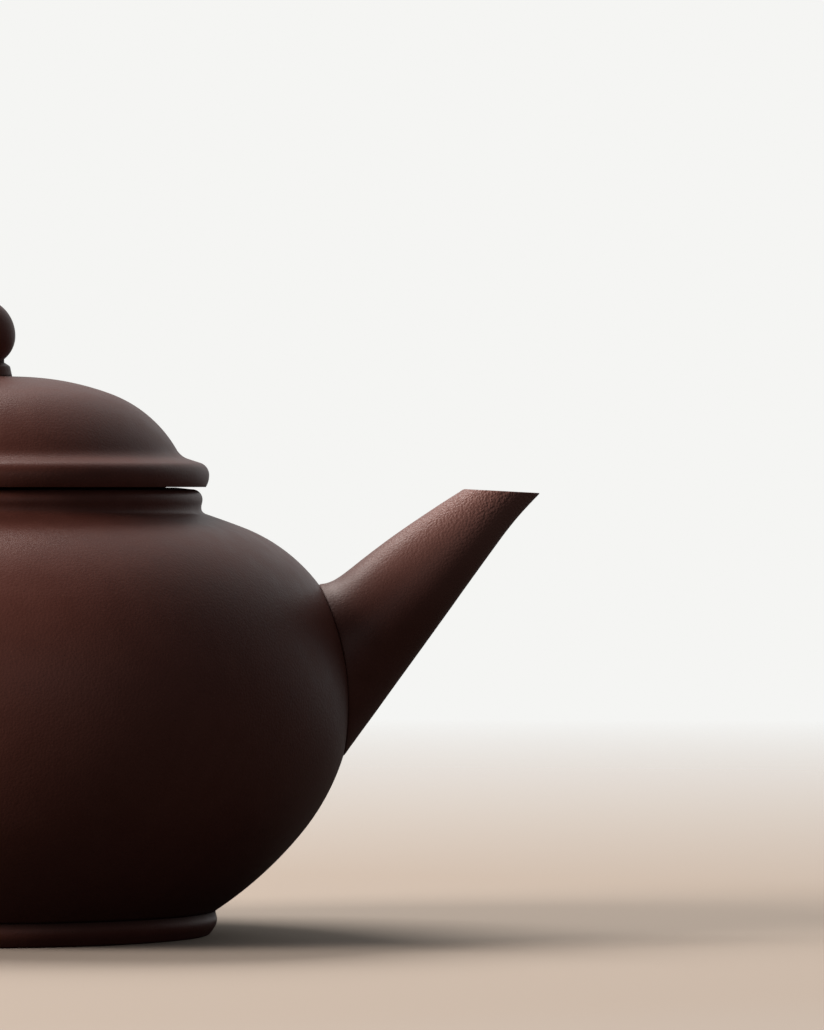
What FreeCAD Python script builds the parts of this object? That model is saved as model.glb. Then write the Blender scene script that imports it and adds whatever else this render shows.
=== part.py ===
import FreeCAD, Part
import math
import os

# Round unglazed clay teapot, millimetres, +Z up, spout to +X and handle to -X.
# The origin is the centre of the foot, on the table.

# Sizes of the pot body
BELLY_R = 37.88           # widest radius of the body
BELLY_Z = 24.6            # height of the widest line
WALL = 2.8                # thickness of the thrown wall
UPPER_ROUND = (0.97, 0.8434)   # round above the widest line: radius and turn over those of a single arc
LOWER_ROUND = (0.9163, 0.615)  # the same for the round below it
FOOT_R = 24.0             # radius where the body stands on the foot ring
FOOT_H = 2.35             # height of the foot ring
FOOT_BULGE = 0.24         # how far the foot ring swells past FOOT_R
FOOT_W = 2.55             # width of the flat the pot stands on
FOOT_UNDERCUT = 0.55      # how far the flat's outer edge is set in from FOOT_R

# Sizes of the neck and the mouth
NECK_Z = 42.2             # height of the seat the neck ring stands on
NECK_H = 2.5              # height of the neck ring
NECK_WAIST = 0.6          # height of the plain waist under the bead
NECK_BEAD = 0.12          # how far the bead swells past the waist
NECK_ROUND = 1.05         # rounded outer edge of the bead
NECK_FALL = 0.17          # fall of the neck's top from its inner land outwards
MOUTH_R = 19.2            # bore of the mouth
NECK_WALL = 3.43          # thickness of the neck ring at its waist
LAND_W = 0.9              # width of the level land the lid rests on

# Sizes of the lid
SEAT_GAP = 0.04           # clearance between the lid and the land
LID_FIT = 0.2             # clearance of the lid's flange in the mouth, on the radius
FLANGE_WALL = 2.2         # thickness of the flange
FLANGE_DEPTH = 6.8        # depth of the flange under the lid
FLANGE_LEAD = 0.6         # bevel at the flange's lower edge
RIM_OVERHANG = 0.79       # how far the lid stands out past the neck's waist
RIM_MID = 1.2             # height of the widest line above the lid's underside
RIM_H = 3.65              # height of the rim piece up to the dome
RIM_UNDER_R = 2.3         # curve of the rim below its widest line
RIM_NOSE_R = 1.3          # curve of the rim above its widest line
RIM_NOSE_TURN = 72.0      # degrees the nose turns before the crest
RIM_CREST = 1.34          # length of the straight crest
RIM_TREAD = 3.2           # how far the dome stands in from the lid's widest line
DOME_RISE = 7.4           # rise of the dome above the rim
DOME_WALL = 2.6           # thickness of the dome
DOME_CROWN = (1.283, 0.4134)   # flat curve on top: radius and turn over those of a single arc
DOME_FLAT = 0.3           # width of the level band round the knob's collar
VENT_R = 0.9              # bore of the air hole through knob and lid
VENT_FLARE = 2.2          # radius of the air hole's mouth under the lid

# Sizes of the knob
COLLAR_R = 3.72           # radius of the collar's foot
COLLAR_SLOPE = 0.24       # how much narrower the collar is at its shoulder
COLLAR_H = 1.4            # height of the collar
COLLAR_BEVEL = 0.35       # height of the collar's bevelled top
KNOB_NECK_R = 2.9         # neck between collar and bead
KNOB_NECK_H = 0.35        # height of the neck
KNOB_R = 4.02             # widest radius of the bead
KNOB_LOW_R = 3.0          # curve of the bead under its widest line
KNOB_HIGH = (1.019, 0.688)     # curve over that line: radius and turn over those of a single arc
KNOB_TOP = 3.72           # height of the top above the widest line

# Sizes of the spout
LEVEL_DROP = 0.15         # spout and handle finish this far below the neck's top
SPOUT_REACH = 18.65       # how far the lip stands out past the belly
SPOUT_MOUTH = 7.65        # length of the mouth from its back to the lip
SPOUT_DIP = 0.4           # how much lower the lip is than the back of the mouth
SPOUT_TOP_RISE = 10.37    # upper root above the belly's widest line
SPOUT_LOW_FALL = 6.85     # lower root below the belly's widest line
SPOUT_TOP_SLOPE = 31.9    # degrees, upper outline at the mouth
SPOUT_LOW_SLOPE = 53.8    # degrees, lower outline at the root
SPOUT_LIP_SLOPE = 46.5    # degrees, lower outline at the lip
SPOUT_TOP_PULL = (0.24, 0.88)  # share of its length the upper outline follows each end's direction
SPOUT_LOW_PULL = (0.93, 0.18)  # the same for the lower outline
SPOUT_ROOT_W = 15.6       # width across the root
SPOUT_MOUTH_W = 6.6       # width across the mouth
SPOUT_ROOT_WALL = 2.5     # wall at the root
SPOUT_LIP_WALL = 0.95     # wall at the lip
SPOUT_SLANT = 1.25        # wall measured along the slanting ovals over its thickness
SPOUT_SECTIONS = 9        # cross-sections along the spout
SPOUT_HOLE_R = 5.0        # hole through the body wall behind the spout

# Sizes of the ball strainer
STRAINER_R = 7.4          # outer radius
STRAINER_WALL = 1.5       # thickness
STRAINER_HOLE_R = 0.8     # radius of each hole
STRAINER_RINGS = ((0, 1), (24, 6), (45, 12), (65, 16))  # degrees off the middle, holes

# Sizes of the handle
HANDLE_REACH = 17.6       # how far the handle stands out past the belly
HANDLE_CROWN_R = 10.5     # curve of the centre line round the upper corner
HANDLE_RISE = 28.0        # degrees the upper run climbs away from the body
HANDLE_TURN = 138.0       # degrees the upper corner turns
HANDLE_LOW_Z = 10.5       # height of the lower root
HANDLE_ROOT_W = 9.0       # width at the upper root
HANDLE_ROOT_T = 8.2       # thickness at the upper root
HANDLE_TOP_W = 7.6        # width at the crown
HANDLE_TOP_T = 6.6        # thickness at the crown
HANDLE_END_W = 6.6        # width at the lower root
HANDLE_END_T = 5.6        # thickness at the lower root
HANDLE_SECTIONS = 6       # cross-sections along each part of the centre line

# Levels and radii that follow from the sizes above
NECK_TOP_Z = NECK_Z + NECK_H
LID_Z = NECK_TOP_Z + SEAT_GAP
DOME_Z = LID_Z + RIM_H
DOME_TOP_Z = DOME_Z + DOME_RISE
COLLAR_TOP_Z = DOME_TOP_Z + COLLAR_H
LEVEL_Z = NECK_TOP_Z - LEVEL_DROP
NECK_R = MOUTH_R + NECK_WALL
RIM_R = NECK_R + RIM_OVERHANG
DOME_R = RIM_R - RIM_TREAD
FLANGE_R = MOUTH_R - LID_FIT
FLANGE_BORE = FLANGE_R - FLANGE_WALL

AXIS = FreeCAD.Vector(0, 0, 1)
ORIGIN = FreeCAD.Vector(0, 0, 0)
SIDEWAYS = FreeCAD.Vector(0, 1, 0)


def at(r, z):
    """Point of a profile, r out from the axis and z up."""
    return FreeCAD.Vector(r, 0, z)


def heading(degrees):
    """Direction in the profile plane, counted from straight out towards up."""
    angle = math.radians(degrees)
    return FreeCAD.Vector(math.cos(angle), 0, math.sin(angle))


class Bow:
    """Circular arc of a profile between two angles in degrees."""

    def __init__(self, centre, radius, start, end):
        self.centre = centre
        self.radius = radius
        self.start = start
        self.end = end

    def point(self, degrees, inset=0.0):
        return self.centre + heading(degrees) * (self.radius - inset)

    def first(self, inset=0.0):
        return self.point(self.start, inset)

    def last(self, inset=0.0):
        return self.point(self.end, inset)

    def edge(self, inset=0.0):
        middle = self.point((self.start + self.end) / 2, inset)
        return Part.Arc(self.first(inset), middle, self.last(inset)).toShape()

    def radius_at(self, z, inset=0.0):
        """How far out the arc is at height z."""
        return self.centre.x + math.sqrt((self.radius - inset) ** 2 - (z - self.centre.z) ** 2)

    def onward(self, goal):
        """Arc that carries on smoothly from this one's end to the goal."""
        outward = heading(self.end)
        step = goal - self.last()
        radius = -step.dot(step) / (2 * step.dot(outward))
        centre = self.last() - outward * radius
        reach = goal - centre
        return Bow(centre, radius, self.end, math.degrees(math.atan2(reach.z, reach.x)))


def two_rounds(start, outward, goal, ease, share):
    """Two smooth arcs from the start, where the form faces outward in degrees, to the goal.

    A single arc would reach it too: ease and share are the first round's radius and turn over that arc's.
    """
    out = heading(outward)
    step = goal - start
    plain = -step.dot(step) / (2 * step.dot(out))
    reach = goal - start + out * plain
    turn = math.degrees(math.atan2(reach.z, reach.x)) - outward
    first = Bow(start - out * (plain * ease), plain * ease, outward, outward + turn * share)
    return first, first.onward(goal)


def smooth_arc(start, direction, goal):
    """Edge that leaves the start in the given direction and bends evenly to the goal."""
    step = goal - start
    side = FreeCAD.Vector(-direction.z, 0, direction.x)
    radius = step.dot(step) / (2 * step.dot(side))
    centre = start + side * radius
    half = ((start - centre) + (goal - centre)).normalize() * abs(radius)
    return Part.Arc(start, centre + half, goal).toShape()


def line(start, end):
    return Part.makeLine(start, end)


def chain(*points):
    """Straight edges through the points in turn."""
    return [line(a, b) for a, b in zip(points, points[1:])]


def turned(edges):
    """Solid made by turning a closed profile about the axis."""
    profile = Part.Face(Part.Wire(Part.__sortEdges__(edges)))
    return profile.revolve(ORIGIN, AXIS, 360)


def oval(centre, half_a, half_b):
    """Closed oval with the two given half axes."""
    flat = half_a.cross(half_b).normalize()
    place = FreeCAD.Matrix(half_a.x, half_b.x, flat.x, centre.x,
                           half_a.y, half_b.y, flat.y, centre.y,
                           half_a.z, half_b.z, flat.z, centre.z,
                           0, 0, 0, 1)
    return Part.Wire(Part.makeCircle(1).transformGeometry(place).Edges)


# Outline of the body: two rounds above the widest line and two below it
BELLY = at(BELLY_R, BELLY_Z)
UPPER, SHOULDER = two_rounds(BELLY, 0, at(NECK_R, NECK_Z), *UPPER_ROUND)
LOWER, BASE = two_rounds(BELLY, 0, at(FOOT_R, FOOT_H), *LOWER_ROUND)

# Outline of the lid's dome
CROWN, FLANK = two_rounds(at(COLLAR_R + DOME_FLAT, DOME_TOP_Z), 90, at(DOME_R, DOME_Z), *DOME_CROWN)


def body_radius(z):
    """Outer radius of the body at a height between foot and shoulder."""
    for bow in (UPPER, SHOULDER, LOWER, BASE):
        low, high = sorted((bow.first().z, bow.last().z))
        if low <= z <= high:
            return bow.radius_at(z)
    return FOOT_R


def body_block(inset=0.0):
    """The body's round form filled solid, or the space inside its wall."""
    edges = [bow.edge(inset) for bow in (SHOULDER, UPPER, LOWER, BASE)]
    top = SHOULDER.last(inset)
    foot = BASE.last(inset)
    edges += chain(foot, at(0, foot.z), at(0, top.z), top)
    return turned(edges)


def base_disc():
    """Round slab under the body, its edge cut square to the wall."""
    inner = BASE.last(WALL)
    outer = BASE.last()
    return turned(chain(at(0, outer.z), outer, inner, at(0, inner.z), at(0, outer.z)))


def foot_ring():
    outer = at(FOOT_R, FOOT_H)
    toe = at(FOOT_R - FOOT_UNDERCUT, 0)
    heel = at(FOOT_R - FOOT_UNDERCUT - FOOT_W, 0)
    inner = at(heel.x - FOOT_BULGE * 2, FOOT_H)
    swell = at(FOOT_R + FOOT_BULGE, FOOT_H / 2)
    return turned([Part.Arc(toe, swell, outer).toShape()] + chain(outer, inner, heel, toe))


def spout_bore():
    """Hole through the body wall behind the spout."""
    middle = BELLY_Z + (SPOUT_TOP_RISE - SPOUT_LOW_FALL) / 2
    return Part.makeCylinder(SPOUT_HOLE_R, BELLY_R, at(0, middle), FreeCAD.Vector(1, 0, 0))


def body_wall():
    edges = [bow.edge(inset) for bow in (UPPER, LOWER, BASE) for inset in (0, WALL)]
    edges.append(line(UPPER.last(), UPPER.last(WALL)))
    edges.append(line(BASE.last(), BASE.last(WALL)))
    return turned(edges).cut(spout_bore())


def shoulder_disc():
    """Slab that closes the body, with the mouth cut in it."""
    inner_r = SHOULDER.radius - WALL
    turn = math.degrees(math.acos((MOUTH_R - SHOULDER.centre.x) / inner_r))
    inside = Bow(SHOULDER.centre, inner_r, SHOULDER.start, turn)
    edges = [SHOULDER.edge(), inside.edge(), line(SHOULDER.first(), inside.first())]
    edges += chain(SHOULDER.last(), at(MOUTH_R, NECK_Z), inside.last())
    return turned(edges)


def neck_ring():
    bead_r = NECK_R + NECK_BEAD
    bead_z = NECK_Z + NECK_WAIST
    land = at(MOUTH_R + LAND_W, NECK_TOP_Z)
    brow = at(bead_r - NECK_ROUND, NECK_TOP_Z - NECK_FALL)
    cheek = at(bead_r, brow.z - NECK_ROUND)
    waist = at(NECK_R, bead_z)
    edges = [smooth_arc(cheek, heading(90), brow), smooth_arc(cheek, heading(-90), waist)]
    edges += chain(waist, at(NECK_R, NECK_Z), at(MOUTH_R, NECK_Z), at(MOUTH_R, NECK_TOP_Z), land, brow)
    return turned(edges)


def lid_flange():
    low = LID_Z - FLANGE_DEPTH
    heel = at(FLANGE_BORE, low)
    toe = at(FLANGE_R - FLANGE_LEAD, low)
    side = at(FLANGE_R, low + FLANGE_LEAD)
    return turned(chain(heel, toe, side, at(FLANGE_R, LID_Z), at(FLANGE_BORE, LID_Z), heel))


def lid_rim():
    """Rolled rim of the lid, hollowed to the flange's bore."""
    middle = LID_Z + RIM_MID
    dip = math.degrees(math.asin(RIM_MID / RIM_UNDER_R))
    under = Bow(at(RIM_R - RIM_UNDER_R, middle), RIM_UNDER_R, -dip, 0)
    nose = Bow(at(RIM_R - RIM_NOSE_R, middle), RIM_NOSE_R, 0, RIM_NOSE_TURN)
    inward = heading(nose.end + 90)
    crest = nose.last() + inward * RIM_CREST
    top = FLANK.last()
    edges = [under.edge(), nose.edge(), line(nose.last(), crest), smooth_arc(crest, inward, top)]
    edges += chain(top, at(FLANK.radius_at(DOME_Z, DOME_WALL), DOME_Z), at(FLANGE_BORE, LID_Z), under.first())
    return turned(edges)


def lid_dome():
    """Domed disc of the lid with a level seat for the collar and a flared air hole."""
    inner_r = FLANK.radius_at(DOME_Z, DOME_WALL)
    turn = math.degrees(math.asin((DOME_Z - FLANK.centre.z) / (FLANK.radius - DOME_WALL)))
    inside = Bow(FLANK.centre, FLANK.radius - DOME_WALL, FLANK.start, turn)
    ceiling = DOME_TOP_Z - DOME_WALL
    edges = [CROWN.edge(), FLANK.edge(), line(FLANK.last(), at(inner_r, DOME_Z))]
    edges += [inside.edge(), CROWN.edge(DOME_WALL)]
    edges += chain(CROWN.first(DOME_WALL), at(VENT_FLARE, ceiling), at(VENT_R, ceiling + DOME_WALL / 2),
                   at(VENT_R, DOME_TOP_Z), CROWN.first())
    return turned(edges)


def knob_collar():
    start = at(VENT_R, DOME_TOP_Z)
    brow = at(COLLAR_R - COLLAR_SLOPE, COLLAR_TOP_Z - COLLAR_BEVEL)
    neck = at(KNOB_NECK_R, COLLAR_TOP_Z)
    return turned(chain(start, at(COLLAR_R, DOME_TOP_Z), brow, neck, at(VENT_R, COLLAR_TOP_Z), start))


def knob():
    """Bead on a short neck, slightly pointed towards the top."""
    drop = math.degrees(math.acos((KNOB_NECK_R - KNOB_R + KNOB_LOW_R) / KNOB_LOW_R))
    middle = COLLAR_TOP_Z + KNOB_NECK_H + KNOB_LOW_R * math.sin(math.radians(drop))
    low = Bow(at(KNOB_R - KNOB_LOW_R, middle), KNOB_LOW_R, -drop, 0)
    high, top = two_rounds(at(KNOB_R, middle), 0, at(VENT_R, middle + KNOB_TOP), *KNOB_HIGH)
    edges = [low.edge(), high.edge(), top.edge()]
    edges += chain(top.last(), at(VENT_R, COLLAR_TOP_Z), at(KNOB_NECK_R, COLLAR_TOP_Z), low.first())
    return turned(edges)


def curve(*poles):
    """Evenly spaced points along a smooth curve drawn by its poles."""
    bezier = Part.BezierCurve()
    bezier.setPoles(list(poles))
    return bezier.discretize(SPOUT_SECTIONS)


def spout_outlines():
    """Points along the upper and the lower outline, from inside the wall to the mouth."""
    top_z = BELLY_Z + SPOUT_TOP_RISE
    low_z = BELLY_Z - SPOUT_LOW_FALL
    lip = at(BELLY_R + SPOUT_REACH, LEVEL_Z - SPOUT_DIP)
    back = at(lip.x - SPOUT_MOUTH, LEVEL_Z)
    top_root = at(body_radius(top_z) - WALL / 2, top_z)
    low_root = at(body_radius(low_z), low_z) - heading(SPOUT_LOW_SLOPE) * WALL
    top_run = (back - top_root).Length
    low_run = (lip - low_root).Length
    upper = curve(top_root, top_root + at(top_run * SPOUT_TOP_PULL[0], 0),
                  back - heading(SPOUT_TOP_SLOPE) * top_run * SPOUT_TOP_PULL[1], back)
    lower = curve(low_root, low_root + heading(SPOUT_LOW_SLOPE) * low_run * SPOUT_LOW_PULL[0],
                  lip - heading(SPOUT_LIP_SLOPE) * low_run * SPOUT_LOW_PULL[1], lip)
    return upper, lower


def spout_form(inside=False):
    """Tapered spout lofted through ovals, or the channel inside it."""
    sections = []
    for index, (top, low) in enumerate(zip(*spout_outlines())):
        along = index / (SPOUT_SECTIONS - 1)
        half_width = SPOUT_MOUTH_W / 2 + (SPOUT_ROOT_W - SPOUT_MOUTH_W) / 2 * (1 - along) ** 1.5
        wall = SPOUT_ROOT_WALL + (SPOUT_LIP_WALL - SPOUT_ROOT_WALL) * along
        half = (top - low) * 0.5
        if inside:
            # each oval cuts the wall aslant, so the wall is longer in it than it is thick
            half = half * (1 - SPOUT_SLANT * wall / half.Length)
            half_width -= wall
        sections.append(oval((top + low) * 0.5, half, SIDEWAYS * half_width))
    if inside:
        beyond = sections[-1].copy()
        beyond.translate(heading(SPOUT_LIP_SLOPE) * SPOUT_LIP_WALL)
        sections.append(beyond)
    return Part.makeLoft(sections, True, False)


def spout():
    return spout_form().cut(spout_form(inside=True)).cut(body_block())


def strainer():
    """Ball strainer luted over the spout's hole inside the wall."""
    middle = BELLY_Z + (SPOUT_TOP_RISE - SPOUT_LOW_FALL) / 2
    centre = at(UPPER.radius_at(middle, WALL), middle)
    ball = Part.makeSphere(STRAINER_R, centre).cut(Part.makeSphere(STRAINER_R - STRAINER_WALL, centre))
    ball.rotate(centre, SIDEWAYS, 90)
    holes = []
    for tilt, count in STRAINER_RINGS:
        for index in range(count):
            turn = 2 * math.pi * index / count
            side = math.sin(math.radians(tilt))
            way = FreeCAD.Vector(-math.cos(math.radians(tilt)), side * math.cos(turn), side * math.sin(turn))
            start = centre + way * (STRAINER_R - STRAINER_WALL * 1.5)
            holes.append(Part.makeCylinder(STRAINER_HOLE_R, STRAINER_WALL * 2, start, way))
    return ball.cut(Part.makeCompound(holes)).common(body_block(WALL))


def handle_path():
    """Centre points of the handle and the direction across each, from upper to lower root."""
    reach = BELLY_R + HANDLE_REACH - HANDLE_TOP_T / 2
    crown = Bow(at(reach - HANDLE_CROWN_R, LEVEL_Z - HANDLE_TOP_T / 2 - HANDLE_CROWN_R), HANDLE_CROWN_R,
                90 + HANDLE_RISE, 90 + HANDLE_RISE - HANDLE_TURN)
    root = at(UPPER.centre.x, 0)
    root.z = crown.first().z - (crown.first().x - root.x) * math.tan(math.radians(HANDLE_RISE))
    tail = crown.onward(at(body_radius(HANDLE_LOW_Z) - WALL * 2, HANDLE_LOW_Z))
    places = []
    for index in range(HANDLE_SECTIONS):
        share = index / HANDLE_SECTIONS
        places.append((root + (crown.first() - root) * share, heading(crown.start)))
    for bow in (crown, tail):
        for index in range(HANDLE_SECTIONS):
            angle = bow.start + (bow.end - bow.start) * index / HANDLE_SECTIONS
            places.append((bow.point(angle), heading(angle)))
    places.append((tail.last(), heading(tail.end)))
    return places


def tapered(root, top, end, down):
    """Size part of the way down the handle: quick taper at the root, slow one to the end."""
    return top + (root - top) * (1 - down) ** 4 + (end - top) * down ** 2


def handle():
    """Ear handle, drawn on +X and turned round to -X."""
    sections = []
    places = handle_path()
    for index, (centre, across) in enumerate(places):
        down = index / (len(places) - 1)
        thick = tapered(HANDLE_ROOT_T, HANDLE_TOP_T, HANDLE_END_T, down)
        width = tapered(HANDLE_ROOT_W, HANDLE_TOP_W, HANDLE_END_W, down)
        sections.append(oval(centre, across * (thick / 2), SIDEWAYS * (width / 2)))
    loop = Part.makeLoft(sections, True, False)
    loop.rotate(ORIGIN, AXIS, 180)
    return loop.cut(body_block())


PIECES = (body_wall, base_disc, foot_ring, shoulder_disc, neck_ring, spout, strainer, handle,
          lid_dome, lid_rim, lid_flange, knob_collar, knob)

os.makedirs("parts", exist_ok=True)
for make in PIECES:
    shape = make()
    if len(shape.Solids) == 1:
        shape = shape.Solids[0]
    print(make.__name__, "solids", len(shape.Solids), "valid", shape.isValid(), "volume %.0f" % shape.Volume)
    shape.exportStep("parts/" + make.__name__ + ".step")
print("space inside up to the shoulder %.0f ml" % (body_block(WALL).Volume / 1000))
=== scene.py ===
import math
import bpy
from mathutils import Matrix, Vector, noise


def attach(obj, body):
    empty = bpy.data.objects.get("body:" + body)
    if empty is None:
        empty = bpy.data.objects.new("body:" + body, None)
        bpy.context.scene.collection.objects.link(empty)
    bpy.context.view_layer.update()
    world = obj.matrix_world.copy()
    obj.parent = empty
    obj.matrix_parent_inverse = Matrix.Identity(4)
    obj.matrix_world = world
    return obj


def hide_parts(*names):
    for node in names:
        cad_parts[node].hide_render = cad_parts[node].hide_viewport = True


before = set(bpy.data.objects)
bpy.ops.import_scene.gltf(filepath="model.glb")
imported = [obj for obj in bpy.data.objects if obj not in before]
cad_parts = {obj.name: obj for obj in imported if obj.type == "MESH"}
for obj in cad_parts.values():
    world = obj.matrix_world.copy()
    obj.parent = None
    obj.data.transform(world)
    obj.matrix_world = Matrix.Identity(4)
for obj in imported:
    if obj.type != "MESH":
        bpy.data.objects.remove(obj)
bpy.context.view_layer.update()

# Sizes of the pot are in millimetres and degrees, and its meshes are made in metres
MM = 0.001
TURNS = 192                  # steps round each turned piece
UNEVEN = 0.0004              # how far hand-made clay lies in from a true circle, as a share of the radius
SHARP = 50                   # angle between faces from which an edge is shown sharp

# Wall of the pot: an arc above the belly and one below it, each running on into a second arc
BELLY_R = 37.88
BELLY_Z = 24.6
WALL = 2.8
UPPER_ROUND = 17.25
UPPER_TURN = 69
LOWER_ROUND = 22.7
LOWER_TURN = -39.3
HOLE_R = 5.0                 # hole behind the spout
HOLE_Z = 26.36
HOLE_X = 36                  # middle of the drill that cuts it
HOLE_DEPTH = 20
HOLE_STEPS = 48
LEVEL = 44.55                # height of the spout's mouth and of the handle's top

# Foot ring
FOOT_R = 24.0
FOOT_H = 2.35
FOOT_SWELL_R = 24.3
FOOT_SWELL_Z = 1.2
FOOT_EDGE_R = 23.45
FOOT_BORE_R = 20.9
FOOT_BORE_TOP_R = 20.4
FOOT_SEAT = 0.06             # how far the ring goes into the base

# Neck ring
NECK_R = 22.63
NECK_Z = 42.2
NECK_TOP = 44.7
MOUTH_R = 19.2
LAND = 0.9                   # level land that the lid rests on
BEAD_OUT = 0.12              # bead's reach past the waist
BEAD_ROUND = 1.05
BEAD_DROP = 1.22
WAIST_RISE = 0.4             # where the sweep from the shoulder stands upright
TUCK_RISE = 0.55             # where the waist starts to lean out to the bead
TUCK_H = 0.7

# Lid
LID_Z = 44.74
FLANGE_R = 19.0
FLANGE_BORE = 16.8
FLANGE_DEPTH = 6.8
RIM_R = 23.42
RIM_MID = 45.94
RIM_UNDER_ROUND = 2.3
RIM_UNDER_TURN = -31.4
RIM_NOSE_ROUND = 1.3
RIM_NOSE_TURN = 72
RIM_TREAD = 1.34             # sloping top of the rim
RIM_HOLLOW = 0.62            # reach of the hollow between rim and dome
DOME_R = 20.22
DOME_Z = 48.39
DOME_TOP = 55.79
DOME_WALL = 2.6
CROWN_FLAT_R = 4.02          # where the dome's flat middle ends
CROWN_ROUND = 27.5
CROWN_TURN = 69.7
VENT_R = 0.9                 # air hole

# Collar and knob
COLLAR_R = 3.72
COLLAR_EDGE_R = 3.48
COLLAR_EDGE_DROP = 0.35
COLLAR_TOP = 57.19
COLLAR_TOP_R = 2.9
COLLAR_SINK = 0.04           # how far the collar goes into the lid
COLLAR_LAP = 0.02            # and into the knob
KNOB_R = 4.02
KNOB_STEM = 0.35
KNOB_LOW_ROUND = 3.0
KNOB_HIGH_ROUND = 3.85
KNOB_HIGH_TURN = 55
KNOB_RISE = 3.72             # from the knob's middle to its top

# Spout
SPOUT_REACH = 18.65          # lip's tip past the belly
LIP_DROP = 0.4               # lip's tip below its back
LIP_LENGTH = 7.65
SPOUT_TOP_RISE = 10.37       # upper root above the belly
SPOUT_LOW_DROP = 6.85        # lower root below the belly
SPOUT_TOP_HOLD = (0.24, 0.88)    # shares of the run that draw the outline along its two end directions
SPOUT_LOW_HOLD = (0.93, 0.18)
SPOUT_LOW_SLOPE = 53.8
LIP_TOP_SLOPE = 31.9
LIP_LOW_SLOPE = 46.5
LIP_HALF_WIDTH = 3.3
ROOT_FLARE = 4.5             # what the root adds to the half width
SPOUT_WALL = 2.5
SPOUT_THINNING = 1.55        # what the wall loses up to the lip
SPOUT_LENGTH = 27.0
SIDE_RUN = 24.5              # length of the skin along the spout's side
RUN_SPREAD = 7.5             # how much longer it is below, and shorter on top
BODY_END = 0.985             # share of the length where the lip begins
SPOUT_STEPS = 120
SPOUT_ROWS = 60
BORE_ROWS = 24
RAW_SHEEN_FROM = 6                 # height above the belly where the clay starts to turn raw and paler, partly a painted highlight
RAW_SHEEN_RANGE = 13               # height that it takes to turn

# Rows of the spout's open seam: rise out of the pot's skin, inset and depth of painted shade
SEAM_ROWS = ((-0.35, 0.3, 1.0), (0.0, 0.11, 1.0), (0.1, 0.03, 0.5), (0.24, 0.0, 0.1))

# Rows of its lip, outside first: inset and drop from the edge
LIP_ROWS = ((0.0, 0.2), (0.02, 0.08), (0.05, 0.02), (0.1, 0.0), (0.7, 0.0), (0.85, 0.05), (0.95, 0.2))

# Handle, with sizes at its upper root, its crown and its lower root
HANDLE_REACH = 17.6          # past the belly
HANDLE_THICK = (8.2, 6.6, 5.6)
HANDLE_WIDE = (9.0, 7.6, 6.6)
HANDLE_ROUND = 10.5
HANDLE_START = 118
HANDLE_END = -20
HANDLE_SLOPE = 28
HANDLE_LOW_Z = 10.5
HANDLE_LENGTH = 62
HANDLE_STEPS = 64
HANDLE_ROWS = 150
SPARE_ROWS = 2               # rows of the handle that lie inside the wall at each root
TOP_SWELL = (0.05, 0.9)      # share that the upper root swells by, and the distance over which this fades
LOW_SWELL = (0.06, 0.8)
HANDLE_WAVE = 0.06           # depth of its unevenness
HANDLE_ROOT_SHADE = 0.3            # width of the painted shade round its roots

# Colours of the clay
FIRED_DARK = (0.082, 0.027, 0.0195)
FIRED_LIGHT = (0.112, 0.0385, 0.029)
MOTTLED = (0.134, 0.0495, 0.0375)
# Paler raw clay, partly a painted highlight on the spout's upper side
RAW_AND_SHEEN = (0.215, 0.11, 0.095)
PALE_SPECK = (0.22, 0.105, 0.07)
DARK_SPECK = (0.022, 0.010, 0.008)
# Near-black painted shade for seams, joints and recesses
PAINTED_SHADE = (0.012, 0.006, 0.005)
BLACK = (0, 0, 0)
WHITE = (1, 1, 1)

# Floor, sky and camera, in metres
FLOOR_R = 0.75
FLOOR_Z = -0.00002
FLOOR_STEPS = 96
FLOOR_FADE = (0.12, 0.7)     # distances between which the floor fades out
FLOOR_SEEN = (0.5, 0.445, 0.385, 1)
FLOOR_BOUNCE = (0.05, 0.045, 0.04, 1)
BACKDROP = (0.913, 0.913, 0.896, 1)
SKY_LEAN = (0.15, 0.57, 0.34)    # the light grows towards this direction, behind the pot and above it
SKY_EDGES = (0.36, 0.7)
SKY_DIM = (0.1, 0.095, 0.098)
SKY_LIGHT = 0.85
CAMERA_EYE = Vector((0.0437, -0.75, 0.04465))
CAMERA_AIM = Vector((0.0437, 0, 0.04195))
CAMERA_LENS = 262.0
CAMERA_SENSOR = 36.0

# Softboxes: name, place, aim, size, power and colour
LAMPS = (
    ("overhead", (-0.42, 0.42, 0.84), (0, 0, 0.04), (0.9, 0.5), 10.5, (1, 0.91, 0.86)),
    ("side", (-1.0, -0.46, 0.48), (0, 0, 0.03), (0.54, 0.54), 15.5, (1, 0.86, 0.78)),
    ("front", (0.4, -1.1, 0.3), (0, 0, 0.03), (0.5, 0.5), 0.55, (1, 0.97, 0.97)),
)


def turned_to(degrees):
    """Unit vector at an angle."""
    angle = math.radians(degrees)
    return Vector((math.cos(angle), math.sin(angle)))


def clamped(value):
    """Value held between 0 and 1."""
    return max(0.0, min(1.0, value))


def bent(start, corner, end):
    """Points along a curve from start to end that is drawn towards a corner."""
    shares = [i / 5 for i in range(6)]
    return [start * (1 - t) ** 2 + corner * 2 * t * (1 - t) + end * t * t for t in shares]


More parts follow.
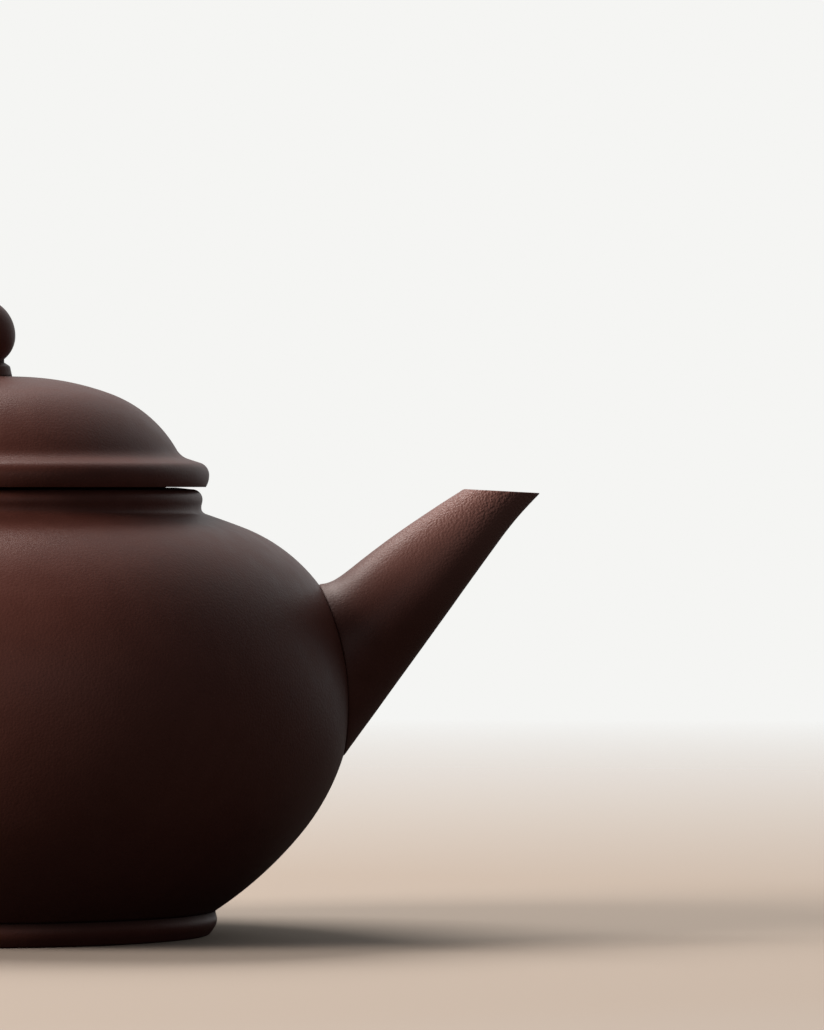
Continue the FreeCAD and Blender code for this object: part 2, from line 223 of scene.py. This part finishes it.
class Bow:
    """Arc of an outline in (r, z), between two angles in degrees."""

    def __init__(self, centre, radius, start, end):
        self.centre = Vector(centre)
        self.radius = radius
        self.start = start
        self.end = end

    def at(self, degrees, inset=0.0):
        return self.centre + turned_to(degrees) * (self.radius - inset)

    def onward(self, goal):
        """Arc that goes on smoothly from this one's end to the goal."""
        out = turned_to(self.end)
        step = Vector(goal) - self.at(self.end)
        radius = -step.dot(step) / (2 * step.dot(out))
        centre = self.at(self.end) - out * radius
        reach = Vector(goal) - centre
        return Bow(centre, radius, self.end, math.degrees(math.atan2(reach.y, reach.x)))

    def line(self, inset=0.0, step=0.55):
        """Points along the arc, about a step apart."""
        turn = self.end - self.start
        count = max(2, math.ceil(abs(math.radians(turn)) * self.radius / step))
        return [self.at(self.start + turn * i / count, inset) for i in range(count + 1)]

    def out_at(self, z):
        """Radius of the arc's outer side at a height."""
        return self.centre.x + math.sqrt(max(0.0, self.radius ** 2 - (z - self.centre.y) ** 2))


UPPER = Bow((BELLY_R - UPPER_ROUND, BELLY_Z), UPPER_ROUND, 0, UPPER_TURN)
SHOULDER = UPPER.onward((NECK_R, NECK_Z))
LOWER = Bow((BELLY_R - LOWER_ROUND, BELLY_Z), LOWER_ROUND, 0, LOWER_TURN)
BASE = LOWER.onward((FOOT_R, FOOT_H))
CROWN = Bow((CROWN_FLAT_R, DOME_TOP - CROWN_ROUND), CROWN_ROUND, 90, CROWN_TURN)
FLANK = CROWN.onward((DOME_R, DOME_Z))


def body_radius(z):
    """Outer radius of the pot at a height."""
    if z >= UPPER.at(UPPER.end).y:
        return SHOULDER.out_at(min(z, NECK_Z))
    if z >= BELLY_Z:
        return UPPER.out_at(z)
    if z >= LOWER.at(LOWER.end).y:
        return LOWER.out_at(z)
    return BASE.out_at(max(z, FOOT_H))


def rounded(*corners):
    """Outline through corners (r, z, rounding), each corner eased by its rounding."""
    points = []
    for i, (r, z, ease) in enumerate(corners):
        here = Vector((r, z))
        if ease == 0:
            points.append(here)
            continue
        before = Vector(corners[i - 1][:2]) - here
        after = Vector(corners[(i + 1) % len(corners)][:2]) - here
        start = here + before.normalized() * min(ease, before.length * 0.45)
        end = here + after.normalized() * min(ease, after.length * 0.45)
        points += bent(start, here, end)
    return points


def filled(points, gap=0.7, closed=True):
    """The same outline with long straight runs divided."""
    ends = points[1:] + points[:1] if closed else points[1:]
    out = []
    for a, b in zip(points, ends):
        count = max(1, math.ceil((b - a).length / gap))
        out += [a + (b - a) * i / count for i in range(count)]
    return out if closed else out + [points[-1]]


def hand(p):
    """How far in the clay lies from a true circle at a point, as a share of the radius."""
    slow = noise.noise(p * 0.035 + Vector((3, 7, 1)))
    quick = noise.noise(p * 0.13 + Vector((11, 2, 5)))
    return UNEVEN * (1 + 0.7 * slow + 0.3 * quick)


def solid(name, verts, faces, body, *nodes, shade, raw_and_sheen=None):
    """Mesh object from points in millimetres that stands for CAD nodes and rides on their body.

    Shade is painted shade, by how deep each point lies in a seam or recess; the raw share is how little the
    clay was burnished there, and partly a painted highlight towards the spout's top.
    """
    mesh = bpy.data.meshes.new(name)
    mesh.from_pydata([v * MM for v in verts], [], faces)
    mesh.attributes.new("painted_shade", "FLOAT", "POINT").data.foreach_set("value", shade)
    mesh.attributes.new("raw_and_sheen", "FLOAT", "POINT").data.foreach_set("value", raw_and_sheen or [0.0] * len(verts))
    mesh.update()
    mesh.polygons.foreach_set("use_smooth", [True] * len(mesh.polygons))
    mesh.set_sharp_from_angle(angle=math.radians(SHARP))
    piece = bpy.data.objects.new(name, mesh)
    bpy.context.scene.collection.objects.link(piece)
    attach(piece, body)
    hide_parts(*nodes)
    return piece


def spun(name, outline, body, *nodes, closed=True, painted_shade=None):
    """Piece turned about the upright axis from an outline of (r, z) points."""
    verts = []
    shade = []
    rows = []
    for p in outline:
        dark = painted_shade(p) if painted_shade else 0.0
        if p.x < 1e-6:
            rows.append([len(verts)] * TURNS)
            verts.append(Vector((0, 0, p.y)))
            shade.append(dark)
            continue
        rows.append(list(range(len(verts), len(verts) + TURNS)))
        for j in range(TURNS):
            angle = 2 * math.pi * j / TURNS
            v = Vector((p.x * math.cos(angle), p.x * math.sin(angle), p.y))
            shrink = 1 - hand(v)
            verts.append(Vector((v.x * shrink, v.y * shrink, v.z)))
            shade.append(dark)
    faces = []
    uppers = rows[1:] + rows[:1] if closed else rows[1:]
    for low, high in zip(rows, uppers):
        for j in range(TURNS):
            k = (j + 1) % TURNS
            ring = [low[j], low[k], high[k], high[j]]
            faces.append([v for i, v in enumerate(ring) if v not in ring[:i]])
    return solid(name, verts, faces, body, *nodes, shade=shade)


def near(*points, reach):
    """Function that is 1 at the nearest of some outline points and fades to 0 at the reach."""
    return lambda p: max(0.0, 1 - min((p - Vector(q)).length for q in points) / reach)


def pot_shell():
    """Wall, base and shoulder as one fired skin, outside and inside, with the hole behind the spout."""
    outside = BASE.line()[::-1] + LOWER.line()[::-1][1:] + UPPER.line()[1:] + SHOULDER.line()[1:]
    turn = math.degrees(math.acos((MOUTH_R - SHOULDER.centre.x) / (SHOULDER.radius - WALL)))
    under = Bow(SHOULDER.centre, SHOULDER.radius, SHOULDER.start, turn)
    inside = under.line(WALL)[::-1] + UPPER.line(WALL)[::-1][1:] + LOWER.line(WALL)[1:] + BASE.line(WALL)[1:]
    outline = [Vector((0, FOOT_H))] + outside + [Vector((MOUTH_R, NECK_Z))]
    outline += inside + [Vector((0, inside[-1].y))]
    # The base is darkened with painted shade where the foot ring meets it
    shell = spun("pot_shell", filled(outline, 0.8, False), "pot", "body_wall", "base_disc", "shoulder_disc",
                 closed=False, painted_shade=near((FOOT_R, FOOT_H), reach=0.45))
    bpy.ops.mesh.primitive_cylinder_add(vertices=HOLE_STEPS, radius=HOLE_R * MM, depth=HOLE_DEPTH * MM,
                                        location=(HOLE_X * MM, 0, HOLE_Z * MM),
                                        rotation=(0, math.pi / 2, 0))
    drill = bpy.context.object
    cut = shell.modifiers.new("hole", "BOOLEAN")
    cut.operation = "DIFFERENCE"
    cut.object = drill
    cut.solver = "EXACT"
    holed = bpy.data.meshes.new_from_object(shell.evaluated_get(bpy.context.evaluated_depsgraph_get()))
    shell.modifiers.clear()
    shell.data = holed
    bpy.data.objects.remove(drill)
    return shell


def foot():
    """Ring that the pot stands on, with a soft swelling outside."""
    top = FOOT_H + FOOT_SEAT
    outline = rounded((FOOT_EDGE_R, 0, 0.25), (FOOT_SWELL_R, FOOT_SWELL_Z, 1.1), (FOOT_R, top, 0.12),
                      (FOOT_BORE_TOP_R, top, 0.1), (FOOT_BORE_R, 0, 0.3))
    # The ring's top edge is darkened with painted shade under the base
    return spun("foot", filled(outline), "pot", "foot_ring", painted_shade=near((FOOT_R, FOOT_H), reach=0.4))


def neck():
    """Ring round the mouth: a soft bead over a waist that runs out into the shoulder."""
    edge = SHOULDER.at(SHOULDER.end - math.degrees(0.6 / SHOULDER.radius), 0.01)
    root = bent(edge, Vector((NECK_R, NECK_Z)), Vector((NECK_R, NECK_Z + WAIST_RISE)))
    tuck = []
    for t in (0, 0.25, 0.5, 0.75):
        r = NECK_R + BEAD_OUT / 2 * (1 - math.cos(math.pi * t))
        tuck.append(Vector((r, NECK_Z + TUCK_RISE + TUCK_H * t)))
    middle = (NECK_R + BEAD_OUT - BEAD_ROUND, NECK_TOP - BEAD_DROP)
    bead = Bow(middle, BEAD_ROUND, 0, 90).line(step=0.12)
    land = rounded((MOUTH_R + LAND, NECK_TOP, 0), (MOUTH_R, NECK_TOP, 0.2), (MOUTH_R, NECK_Z - 0.2, 0))
    return spun("neck", filled(root + tuck + bead + land, 0.4), "pot", "neck_ring")


def lid():
    """Flange, rolled rim and dome as one fired skin, with the air hole."""
    under = Bow((RIM_R - RIM_UNDER_ROUND, RIM_MID), RIM_UNDER_ROUND, RIM_UNDER_TURN, 0).line(step=0.2)
    nose = Bow((RIM_R - RIM_NOSE_ROUND, RIM_MID), RIM_NOSE_ROUND, 0, RIM_NOSE_TURN).line(step=0.12)
    slope = turned_to(RIM_NOSE_TURN + 90)
    crest = nose[-1] + slope * RIM_TREAD
    hollow = bent(crest, crest + slope * RIM_HOLLOW, FLANK.at(FLANK.end))
    top = FLANK.line()[::-1][1:] + CROWN.line()[::-1][1:]

    # Air hole, wider where it opens under the dome
    ceiling = DOME_TOP - DOME_WALL
    vent = [(VENT_R, DOME_TOP), (VENT_R, DOME_TOP - 1.3), (1.5, ceiling + 0.35), (2.2, ceiling)]

    # Underside of the dome, then the flange
    turn = math.degrees(math.asin((DOME_Z - FLANK.centre.y) / (FLANK.radius - DOME_WALL)))
    below = CROWN.line(DOME_WALL) + Bow(FLANK.centre, FLANK.radius, FLANK.start, turn).line(DOME_WALL)[1:]
    low = LID_Z - FLANGE_DEPTH
    flange = rounded((FLANGE_BORE, LID_Z + 0.4, 0), (FLANGE_BORE, low, 0.6), (FLANGE_R - 0.3, low, 0.6),
                     (FLANGE_R, low + 0.5, 0.3), (FLANGE_R, LID_Z, 0.15), (under[0].x, under[0].y, 0))

    outline = flange + under[1:] + nose[1:] + hollow + top + [Vector(p) for p in vent] + below
    return spun("lid", filled(outline), "lid", "lid_dome", "lid_rim", "lid_flange")


def collar():
    """Low disc between lid and knob."""
    low = DOME_TOP - COLLAR_SINK
    top = COLLAR_TOP + COLLAR_LAP
    outline = rounded((VENT_R, low, 0), (COLLAR_R, low, 0.06),
                      (COLLAR_EDGE_R, COLLAR_TOP - COLLAR_EDGE_DROP, 0.14),
                      (COLLAR_TOP_R, top, 0.1), (VENT_R, top, 0))
    # Painted shade darkens it where it meets the lid and the knob
    return spun("collar", filled(outline, 0.3), "lid", "knob_collar",
                painted_shade=near((COLLAR_R, DOME_TOP), (COLLAR_TOP_R, COLLAR_TOP), reach=0.25))


def knob():
    """Bead on a short stem, with the air hole through it."""
    drop = math.degrees(math.acos((COLLAR_TOP_R - KNOB_R + KNOB_LOW_ROUND) / KNOB_LOW_ROUND))
    middle = COLLAR_TOP + KNOB_STEM + KNOB_LOW_ROUND * math.sin(math.radians(drop))
    low = Bow((KNOB_R - KNOB_LOW_ROUND, middle), KNOB_LOW_ROUND, -drop, 0)
    high = Bow((KNOB_R - KNOB_HIGH_ROUND, middle), KNOB_HIGH_ROUND, 0, KNOB_HIGH_TURN)
    top = high.onward((VENT_R, middle + KNOB_RISE))
    peak = top.at(top.end)
    bore = [peak + Vector((-0.06, -0.05)), peak + Vector((-0.08, -0.2)), Vector((VENT_R - 0.08, COLLAR_TOP))]
    outline = [Vector((COLLAR_TOP_R, COLLAR_TOP))]
    outline += low.line(step=0.2) + high.line(step=0.2)[1:] + top.line(step=0.2)[1:] + bore
    # Painted shade darkens its foot where it sits on the collar
    return spun("knob_bead", filled(outline, 0.4), "lid", "knob",
                painted_shade=near((COLLAR_TOP_R, COLLAR_TOP), reach=0.35))


def even_curve(*poles):
    """Function from a share of the way to a point on the smooth curve drawn by four poles."""
    a, b, c, d = poles
    fine = []
    for i in range(401):
        t = i / 400
        fine.append(a * (1 - t) ** 3 + b * 3 * t * (1 - t) ** 2 + c * 3 * t * t * (1 - t) + d * t ** 3)
    run = [0.0]
    for p, q in zip(fine, fine[1:]):
        run.append(run[-1] + (q - p).length)

    def along(share):
        goal = clamped(share) * run[-1]
        low = 0
        high = 400
        while high - low > 1:
            middle = (low + high) // 2
            if run[middle] <= goal:
                low = middle
            else:
                high = middle
        return fine[low].lerp(fine[high], (goal - run[low]) / (run[high] - run[low]))

    return along


def spout_curves():
    """Upper and lower outline of the spout, from inside the wall to the lip."""
    lip = Vector((BELLY_R + SPOUT_REACH, LEVEL - LIP_DROP))
    back = Vector((lip.x - LIP_LENGTH, LEVEL))
    top_z = BELLY_Z + SPOUT_TOP_RISE
    low_z = BELLY_Z - SPOUT_LOW_DROP
    top_root = Vector((body_radius(top_z) - WALL / 2, top_z))
    low_root = Vector((body_radius(low_z), low_z)) - turned_to(SPOUT_LOW_SLOPE) * WALL
    top_run = (back - top_root).length
    low_run = (lip - low_root).length
    upper = even_curve(top_root, top_root + Vector((top_run * SPOUT_TOP_HOLD[0], 0)),
                       back - turned_to(LIP_TOP_SLOPE) * top_run * SPOUT_TOP_HOLD[1], back)
    lower = even_curve(low_root, low_root + turned_to(SPOUT_LOW_SLOPE) * low_run * SPOUT_LOW_HOLD[0],
                       lip - turned_to(LIP_LOW_SLOPE) * low_run * SPOUT_LOW_HOLD[1], lip)
    return upper, lower


def crossing(surface, angle, inner, outer):
    """Where a lengthwise line of a limb comes out of the pot's skin."""
    for _ in range(40):
        middle = (inner + outer) / 2
        p = surface(middle, angle)
        if math.hypot(p.x, p.y) < body_radius(p.z):
            inner = middle
        else:
            outer = middle
    return (inner + outer) / 2


def angles_round(count):
    """Angles of even steps once round."""
    return [2 * math.pi * j / count for j in range(count)]


def tube(rows, count, way):
    """Faces between rows of points round a limb, listed one way round or the other so that they face out."""
    faces = []
    for i in range(rows):
        up = (i + 1) % rows
        for j in range(count):
            k = (j + 1) % count
            faces.append([i * count + j, i * count + k, up * count + k, up * count + j][::way])
    return faces


def spout():
    """Tapered spout, luted to the pot with a fine open seam, with its channel and thin lip."""
    upper, lower = spout_curves()

    def section(u, inset=0.0):
        """Centre, half height and half width of the oval at a share of the length."""
        top = upper(u)
        low = lower(u)
        half = (top - low) / 2
        wide = LIP_HALF_WIDTH + ROOT_FLARE * (1 - clamped(u)) ** 1.5
        return (top + low) / 2, half * (1 - inset * 1.25 / half.length), wide - inset

    def skin(u, angle, inset=0.0):
        centre, half, wide = section(u, inset)
        flat = centre + half * math.cos(angle)
        return Vector((flat.x, wide * math.sin(angle), flat.y))

    def channel(u, angle):
        return skin(u, angle, SPOUT_WALL - SPOUT_THINNING * u)

    def lip_point(angle, inset, drop):
        """Point near the lip, a drop down the skin: the skin is longest under the lip's tip."""
        return skin(1 - drop / (SIDE_RUN - RUN_SPREAD * math.cos(angle)), angle, inset)

    angles = angles_round(SPOUT_STEPS)
    start = [crossing(skin, a, 0.0, 0.6) for a in angles]
    bore = [crossing(channel, a, 0.0, 0.6) for a in angles]
    verts = []
    shade = []

    # Open seam, darkened with painted shade in its groove
    for rise, inset, dark in SEAM_ROWS:
        verts += [skin(s + rise / SPOUT_LENGTH, a, inset) for s, a in zip(start, angles)]
        shade += [dark] * SPOUT_STEPS

    # Outside, with the slight waves of a hand-formed tube
    clear = 0.5 / SPOUT_LENGTH
    for i in range(SPOUT_ROWS):
        share = (i + 1) / (SPOUT_ROWS + 1)
        for s, a in zip(start, angles):
            u = s + clear + (BODY_END - s - clear) * share
            p = skin(u, a)
            wave = noise.noise(p * 0.25) * 0.03 + noise.noise(p * 0.7) * 0.012
            centre = section(u)[0]
            inward = (Vector((centre.x, 0, centre.y)) - p).normalized()
            verts.append(p + inward * (0.02 + wave * 0.6))
        shade += [0.0] * SPOUT_STEPS

    # Lip
    for inset, drop in LIP_ROWS:
        verts += [lip_point(a, inset, drop) for a in angles]
        shade += [0.0] * SPOUT_STEPS

    # Channel, from the lip down to the wall, darkened with painted shade inside it
    for i in range(BORE_ROWS):
        share = i / (BORE_ROWS - 1)
        for b, a in zip(bore, angles):
            verts.append(channel(BODY_END + (b - 0.2 / SPOUT_LENGTH - BODY_END) * share, a))
        shade += [0.3] * SPOUT_STEPS

    # Paler towards the spout's top: raw clay, partly a painted highlight on its upper side
    raw_and_sheen = [clamped((v.z - BELLY_Z - RAW_SHEEN_FROM) / RAW_SHEEN_RANGE) for v in verts]
    faces = tube(len(verts) // SPOUT_STEPS, SPOUT_STEPS, -1)
    return solid("spout_tube", verts, faces, "pot", "spout", shade=shade, raw_and_sheen=raw_and_sheen)


def handle():
    """Ear handle on the -X side, swelling a little where it is luted to the pot."""
    half_thick = HANDLE_THICK[1] / 2
    reach = BELLY_R + HANDLE_REACH - half_thick
    middle = (reach - HANDLE_ROUND, LEVEL - half_thick - HANDLE_ROUND)
    crown = Bow(middle, HANDLE_ROUND, HANDLE_START, HANDLE_END)
    first = crown.at(crown.start)
    root = Vector((BELLY_R - UPPER_ROUND, 0))
    root.y = first.y - (first.x - root.x) * math.tan(math.radians(HANDLE_SLOPE))
    tail = crown.onward((body_radius(HANDLE_LOW_Z) - WALL * 2, HANDLE_LOW_Z))

    def path(u):
        """Centre point and direction across, from upper root at 0 to lower root at 1."""
        k = u * 3
        if k < 1:
            return root.lerp(first, k), turned_to(crown.start)
        bow = crown if k < 2 else tail
        angle = bow.start + (bow.end - bow.start) * (k - (1 if k < 2 else 2))
        return bow.at(angle), turned_to(angle)

    def tapered(sizes, u):
        upper, middle, lower = sizes
        return middle + (upper - middle) * (1 - u) ** 4 + (lower - middle) * u ** 2

    def skin(u, angle, swell=1.0):
        centre, across = path(u)
        thick = tapered(HANDLE_THICK, u) / 2 * swell
        wide = tapered(HANDLE_WIDE, u) / 2 * swell
        flat = centre + across * (thick * math.cos(angle))
        return Vector((-flat.x, wide * math.sin(angle), flat.y))

    angles = angles_round(HANDLE_STEPS)
    start = [crossing(skin, a, 0.0, 0.5) for a in angles]
    end = [crossing(skin, a, 1.0, 0.7) for a in angles]
    top_gain, top_fade = TOP_SWELL
    low_gain, low_fade = LOW_SWELL
    verts = []
    shade = []
    for i in range(-SPARE_ROWS, HANDLE_ROWS + SPARE_ROWS + 1):
        for s, e, a in zip(start, end, angles):
            u = s + (e - s) * i / HANDLE_ROWS
            past_top = max(0.0, u - s) * HANDLE_LENGTH
            past_low = max(0.0, e - u) * HANDLE_LENGTH
            swell = 1 + top_gain * math.exp(-past_top / top_fade) + low_gain * math.exp(-past_low / low_fade)
            p = skin(u, a, swell)
            wave = 0.5 + 0.5 * noise.noise(p * 0.16 + Vector((5, 1, 9)))
            centre = path(u)[0]
            inward = (Vector((-centre.x, 0, centre.y)) - p).normalized()
            verts.append(p + inward * HANDLE_WAVE * wave)
            # Painted shade that darkens the roots where the handle meets the pot
            shade.append(max(0.0, 1 - min(past_top, past_low) / HANDLE_ROOT_SHADE))
    last = len(verts) - HANDLE_STEPS
    faces = tube(len(verts) // HANDLE_STEPS, HANDLE_STEPS, 1)[:-HANDLE_STEPS]
    faces += [list(range(HANDLE_STEPS))[::-1], list(range(last, last + HANDLE_STEPS))]
    return solid("handle_loop", verts, faces, "pot", "handle", shade=shade)


class Nodes:
    """Short way to add and join shader nodes."""

    def __init__(self, tree):
        self.tree = tree
        tree.nodes.clear()

    def add(self, kind, **settings):
        """Node with its properties and inputs set by name."""
        node = self.tree.nodes.new(kind)
        for key, value in settings.items():
            if hasattr(node, key):
                setattr(node, key, value)
            else:
                node.inputs[key].default_value = value
        return node

    def join(self, out, into):
        self.tree.links.new(out, into)

    def feed(self, source, socket):
        """Sets a number or a colour on a socket, or joins an output to it."""
        if isinstance(source, (int, float)):
            socket.default_value = source
        elif isinstance(source, tuple):
            socket.default_value = (*source, 1)
        else:
            self.join(source, socket)

    def ramp(self, source, *stops):
        node = self.tree.nodes.new("ShaderNodeValToRGB")
        for element, (place, colour) in zip(node.color_ramp.elements, stops):
            element.position = place
            element.color = (*colour, 1)
        self.join(source, node.inputs["Fac"])
        return node.outputs["Color"]

    def mix(self, share, a, b):
        node = self.tree.nodes.new("ShaderNodeMix")
        node.data_type = "RGBA"
        self.feed(share, node.inputs[0])
        self.feed(a, node.inputs[6])
        self.feed(b, node.inputs[7])
        return node.outputs[2]

    def math(self, operation, a, b):
        node = self.tree.nodes.new("ShaderNodeMath")
        node.operation = operation
        self.feed(a, node.inputs[0])
        self.feed(b, node.inputs[1])
        return node.outputs[0]

    def pick(self, share, first, second):
        """Mix of two shaders."""
        node = self.tree.nodes.new("ShaderNodeMixShader")
        self.join(share, node.inputs["Fac"])
        self.join(first.outputs[0], node.inputs[1])
        self.join(second.outputs[0], node.inputs[2])
        return node


def clay():
    """Unglazed dark red-brown clay: sandy grain, fine pale and dark specks, satin from handling."""
    material = bpy.data.materials.new("zisha_clay")
    material.use_nodes = True
    n = Nodes(material.node_tree)
    place = n.add("ShaderNodeTexCoord").outputs["Object"]

    def grain(kind, scale, **settings):
        """Pattern with so many waves in a metre."""
        node = n.add(kind, Scale=scale, **settings)
        n.join(place, node.inputs["Vector"])
        return node

    firing = grain("ShaderNodeTexNoise", 38.0, Detail=2.0).outputs["Fac"]
    mottle = grain("ShaderNodeTexNoise", 420.0, Detail=4.0).outputs["Fac"]
    sand = grain("ShaderNodeTexNoise", 3600.0, Detail=2.0).outputs["Fac"]
    pores = grain("ShaderNodeTexVoronoi", 4000.0, feature="SMOOTH_F1", Smoothness=0.6)
    cells = grain("ShaderNodeTexVoronoi", 3600.0)
    raw_and_sheen = n.add("ShaderNodeAttribute", attribute_name="raw_and_sheen").outputs["Fac"]
    painted_shade = n.add("ShaderNodeAttribute", attribute_name="painted_shade").outputs["Fac"]

    # Colour: firing, mottling, specks in a few of the cells, raw clay that is partly a painted highlight,
    # and painted shade in seams and recesses
    tone = n.ramp(firing, (0.3, FIRED_DARK), (0.7, FIRED_LIGHT))
    tone = n.mix(n.ramp(mottle, (0.35, BLACK), (0.7, (0.32, 0.32, 0.32))), tone, MOTTLED)
    chance = n.add("ShaderNodeSeparateColor")
    n.join(cells.outputs["Color"], chance.inputs["Color"])
    core = n.ramp(cells.outputs["Distance"], (0.22, WHITE), (0.42, BLACK))
    pale = n.math("MULTIPLY", core, n.math("GREATER_THAN", chance.outputs["Red"], 0.90))
    dark = n.math("MULTIPLY", core, n.math("GREATER_THAN", chance.outputs["Green"], 0.92))
    tone = n.mix(n.math("MULTIPLY", pale, 0.14), tone, PALE_SPECK)
    tone = n.mix(n.math("MULTIPLY", dark, 0.25), tone, DARK_SPECK)
    # Raw clay paler towards the spout's top, partly a painted highlight
    tone = n.mix(n.math("MULTIPLY", raw_and_sheen, 0.7), tone, RAW_AND_SHEEN)
    # Painted shade: near-black where seams, joints and recesses lie
    tone = n.mix(n.math("MULTIPLY", painted_shade, 0.75), tone, PAINTED_SHADE)

    shader = n.add("ShaderNodeBsdfPrincipled")
    n.join(tone, shader.inputs["Base Color"])
    gloss = n.math("ADD", n.math("MULTIPLY", mottle, 0.16), 0.38)
    n.join(n.math("ADD", gloss, n.math("MULTIPLY", painted_shade, 0.3)), shader.inputs["Roughness"])
    shader.inputs["IOR"].default_value = 1.5
    shader.inputs["Specular IOR Level"].default_value = 0.22

    # Relief: faint on burnished clay, strong where it is raw
    relief = n.math("ADD", n.math("MULTIPLY", n.math("POWER", raw_and_sheen, 3.0), 0.5), 0.09)
    coarse = n.add("ShaderNodeBump", Distance=0.00018)
    n.join(relief, coarse.inputs["Strength"])
    n.join(n.math("SUBTRACT", 1.0, pores.outputs["Distance"]), coarse.inputs["Height"])
    fine = n.add("ShaderNodeBump", Distance=0.00007)
    n.join(relief, fine.inputs["Strength"])
    n.join(sand, fine.inputs["Height"])
    n.join(coarse.outputs["Normal"], fine.inputs["Normal"])
    n.join(fine.outputs["Normal"], shader.inputs["Normal"])
    out = n.add("ShaderNodeOutputMaterial")
    n.join(shader.outputs["BSDF"], out.inputs["Surface"])
    return material


def floor():
    """Pale round floor that fades out into the white background and throws little light back."""
    mesh = bpy.data.meshes.new("floor")
    ring = [(FLOOR_R * math.cos(a), FLOOR_R * math.sin(a), FLOOR_Z) for a in angles_round(FLOOR_STEPS)]
    mesh.from_pydata(ring, [], [list(range(FLOOR_STEPS))])
    plane = bpy.data.objects.new("floor", mesh)
    bpy.context.scene.collection.objects.link(plane)
    material = bpy.data.materials.new("floor")
    material.use_nodes = True
    n = Nodes(material.node_tree)
    reach = n.add("ShaderNodeVectorMath", operation="LENGTH")
    n.join(n.add("ShaderNodeTexCoord").outputs["Object"], reach.inputs[0])
    fade = n.ramp(reach.outputs["Value"], (FLOOR_FADE[0], BLACK), (FLOOR_FADE[1], WHITE))
    from_camera = n.add("ShaderNodeLightPath").outputs["Is Camera Ray"]
    seen = n.add("ShaderNodeBsdfDiffuse", Color=FLOOR_SEEN)
    bounce = n.add("ShaderNodeBsdfDiffuse", Color=FLOOR_BOUNCE)
    near_part = n.pick(from_camera, bounce, seen)
    melted = n.pick(fade, near_part, n.add("ShaderNodeBsdfTransparent"))
    out = n.add("ShaderNodeOutputMaterial")
    n.join(melted.outputs["Shader"], out.inputs["Surface"])
    mesh.materials.append(material)


def softbox(name, place, aim, size, power, colour):
    """Lamp with a wide soft face, turned to a point and not seen itself."""
    data = bpy.data.lights.new(name, "AREA")
    data.shape = "RECTANGLE"
    data.size = size[0]
    data.size_y = size[1]
    data.energy = power
    data.color = colour
    lamp = bpy.data.objects.new(name, data)
    lamp.location = place
    lamp.rotation_euler = (Vector(aim) - Vector(place)).to_track_quat("-Z", "Y").to_euler()
    lamp.visible_camera = False
    bpy.context.scene.collection.objects.link(lamp)


def studio():
    """White background, light that comes mostly from behind and above, and three softboxes."""
    world = bpy.data.worlds.new("studio")
    bpy.context.scene.world = world
    world.use_nodes = True
    n = Nodes(world.node_tree)
    toward = n.add("ShaderNodeVectorMath", operation="DOT_PRODUCT")
    n.join(n.add("ShaderNodeTexCoord").outputs["Generated"], toward.inputs[0])
    toward.inputs[1].default_value = SKY_LEAN
    sky = n.ramp(toward.outputs["Value"], (SKY_EDGES[0], SKY_DIM), (SKY_EDGES[1], WHITE))
    around = n.add("ShaderNodeBackground", Strength=SKY_LIGHT)
    n.join(sky, around.inputs["Color"])
    backdrop = n.add("ShaderNodeBackground", Color=BACKDROP, Strength=1.0)
    from_camera = n.add("ShaderNodeLightPath").outputs["Is Camera Ray"]
    out = n.add("ShaderNodeOutputWorld")
    n.join(n.pick(from_camera, around, backdrop).outputs["Shader"], out.inputs["Surface"])
    for lamp in LAMPS:
        softbox(*lamp)


def camera():
    """The photograph's view: level with the lid's edge, square to the spout."""
    data = bpy.data.cameras.new("camera")
    data.sensor_width = CAMERA_SENSOR
    data.lens = CAMERA_LENS
    view = bpy.data.objects.new("camera", data)
    view.location = CAMERA_EYE
    view.rotation_euler = (CAMERA_AIM - CAMERA_EYE).to_track_quat("-Z", "Y").to_euler()
    bpy.context.scene.collection.objects.link(view)
    bpy.context.scene.camera = view


pieces = [pot_shell(), foot(), neck(), spout(), handle(), lid(), collar(), knob()]
surface = clay()
for piece in pieces:
    piece.data.materials.clear()
    piece.data.materials.append(surface)
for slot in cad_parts["strainer"].material_slots:
    slot.material = surface
floor()
studio()
camera()
bpy.context.scene.view_settings.view_transform = "Standard"
